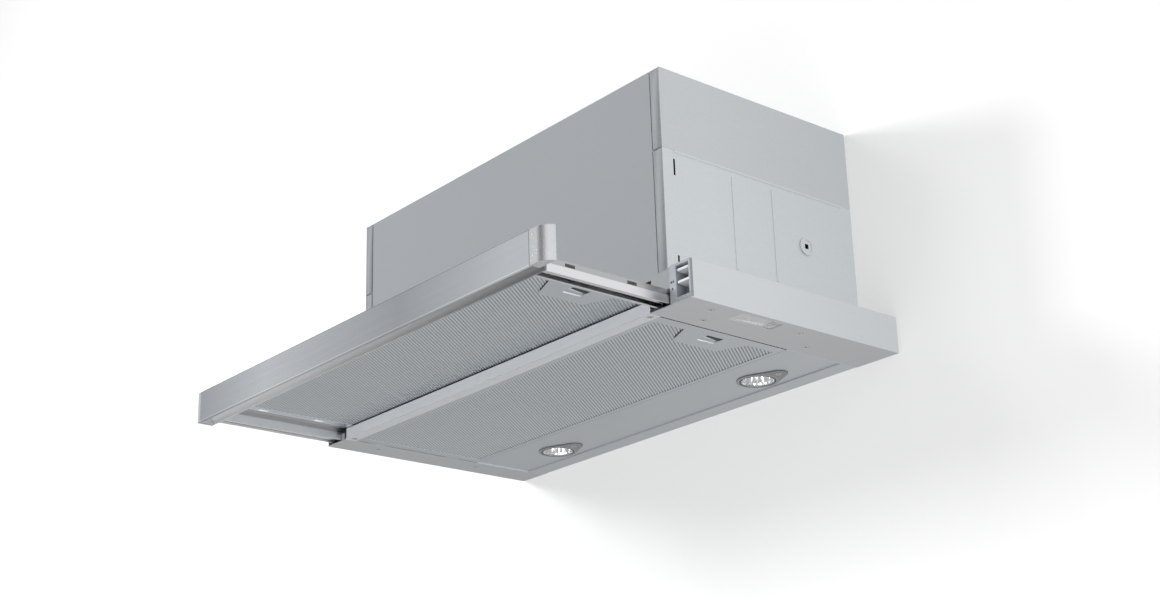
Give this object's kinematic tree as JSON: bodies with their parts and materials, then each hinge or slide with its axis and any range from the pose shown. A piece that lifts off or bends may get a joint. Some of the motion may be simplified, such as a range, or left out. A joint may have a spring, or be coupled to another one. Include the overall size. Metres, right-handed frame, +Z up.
{
  "type": "pull out range hood",
  "caption": "Slim built-in cooker hood with a pull-out filter drawer, slide switches, lamps underneath and a box casing with a duct collar on top.",
  "frame": {"origin": "middle of the footprint with the drawer out, on the plane of the underside", "axes": "+X to the right seen from the front, +Y to the wall, +Z up"},
  "size_m": [0.598, 0.446, 0.283],
  "materials": {
    "satin_steel": "fine satin, brushed",
    "zinc_steel": "bright zinc plated",
    "brass": "plain",
    "grip_aluminium": "satin anodised",
    "filter_aluminium": "bright pressed sheet and mesh",
    "grey_plastic": "fine texture",
    "cap_plastic": "silver grey, satin",
    "dark_plastic": "fine texture",
    "bezel_plastic": "silver, satin gloss",
    "glass": "clear",
    "mirror": "facetted reflector",
    "white_plastic": "moulded, slight gloss",
    "motor_metal": "plain dark paint",
    "black_rubber": "matt"
  },
  "bodies": {
    "base": {"arm_right": "satin_steel", "arm_left": "satin_steel", "crossbar": "satin_steel", "fascia": "satin_steel", "lamp_panel": "satin_steel", "rear_strip": "satin_steel", "casing_front": "satin_steel", "casing_back": "satin_steel", "casing_top_plate": "satin_steel", "side_right_lower": "satin_steel", "side_right_upper": "satin_steel", "side_left_lower": "satin_steel", "side_left_upper": "satin_steel", "switch_panel": "grey_plastic", "switch_block": "dark_plastic", "cabinet_clamp": "zinc_steel", "slide_outer_right": "zinc_steel", "slide_outer_left": "zinc_steel", "lamp_bezel_right": "bezel_plastic", "lamp_bezel_left": "bezel_plastic", "lamp_glass_right": "glass", "lamp_glass_left": "glass", "reflector_right": "mirror", "reflector_left": "mirror", "bulbs": "glass", "lampholders": "white_plastic", "volute_right": "white_plastic", "volute_left": "white_plastic", "motor": "motor_metal", "motor_bracket": "zinc_steel", "motor_bushes": "black_rubber", "capacitor": "white_plastic", "control_box": "white_plastic", "transformer": "motor_metal", "outlet_collar": "white_plastic", "screws": "zinc_steel", "cable_gland": "dark_plastic"},
    "drawer": {"drawer_front": "satin_steel", "grip_profile": "grip_aluminium", "end_cap_right": "cap_plastic", "end_cap_left": "cap_plastic", "channel_right": "zinc_steel", "channel_left": "zinc_steel", "drawer_rear_bar": "satin_steel", "slide_inner_right": "zinc_steel", "slide_inner_left": "zinc_steel", "drawer_filter_frame": "filter_aluminium", "drawer_filter_mesh": "filter_aluminium"},
    "cage_right": {"ball_cage_right": "brass"},
    "cage_left": {"ball_cage_left": "brass"},
    "drawer_filter_latch": {"drawer_latch": "dark_plastic"},
    "fixed_filter": {"fixed_filter_frame": "filter_aluminium", "fixed_filter_mesh": "filter_aluminium"},
    "fixed_filter_latch": {"fixed_latch": "dark_plastic"},
    "light_slider": {"light_knob": "cap_plastic"},
    "speed_slider": {"speed_knob": "cap_plastic"},
    "fan": {"fan_wheel": "white_plastic", "motor_shaft": "zinc_steel"},
    "front_flap": {"flap_front": "white_plastic"},
    "rear_flap": {"flap_rear": "white_plastic"}
  },
  "joints": [
    {"name": "drawer_slide", "type": "slide", "parent": "base", "child": "drawer", "axis": [0, 1, 0], "range_m": [0, 0.1465]},
    {"name": "cage_right_roll", "type": "slide", "parent": "base", "child": "cage_right", "axis": [0, 1, 0], "range_m": [0, 0.0735]},
    {"name": "cage_left_roll", "type": "slide", "parent": "base", "child": "cage_left", "axis": [0, 1, 0], "range_m": [0, 0.0735]},
    {"name": "drawer_filter_latch_pull", "type": "slide", "parent": "drawer", "child": "drawer_filter_latch", "axis": [-1, 0, 0], "range_m": [0, 0.005], "stiffness_N_per_m": 300},
    {"name": "fixed_filter_swing", "type": "hinge", "parent": "base", "child": "fixed_filter", "pos_m": [-0.263, 0.0399, 0.001], "axis": [0, 1, 0], "range_deg": [0, 50]},
    {"name": "fixed_filter_latch_pull", "type": "slide", "parent": "fixed_filter", "child": "fixed_filter_latch", "axis": [-1, 0, 0], "range_m": [0, 0.005]},
    {"name": "light_switch", "type": "slide", "parent": "base", "child": "light_slider", "axis": [0, 0, -1], "range_m": [0, 0.0035]},
    {"name": "speed_switch", "type": "slide", "parent": "base", "child": "speed_slider", "axis": [0, 0, -1], "range_m": [0, 0.012]},
    {"name": "fan_spin", "type": "hinge", "parent": "base", "child": "fan", "pos_m": [0, 0.04758, 0.1364], "axis": [1, 0, 0], "continuous": true},
    {"name": "front_flap_lift", "type": "hinge", "parent": "base", "child": "front_flap", "pos_m": [0, 0.1054, 0.266], "axis": [-1, 0, 0], "range_deg": [0, 75]},
    {"name": "rear_flap_lift", "type": "hinge", "parent": "base", "child": "rear_flap", "pos_m": [0, 0.1054, 0.266], "axis": [1, 0, 0], "range_deg": [0, 75]}
  ],
  "couplings": [
    {"joint": "cage_right_roll", "follows": "drawer_slide", "ratio": 0.5},
    {"joint": "cage_left_roll", "follows": "drawer_slide", "ratio": 0.5},
    {"joint": "fixed_filter_latch_pull", "follows": "fixed_filter_swing", "m_per_rad": 0.00572}
  ]
}
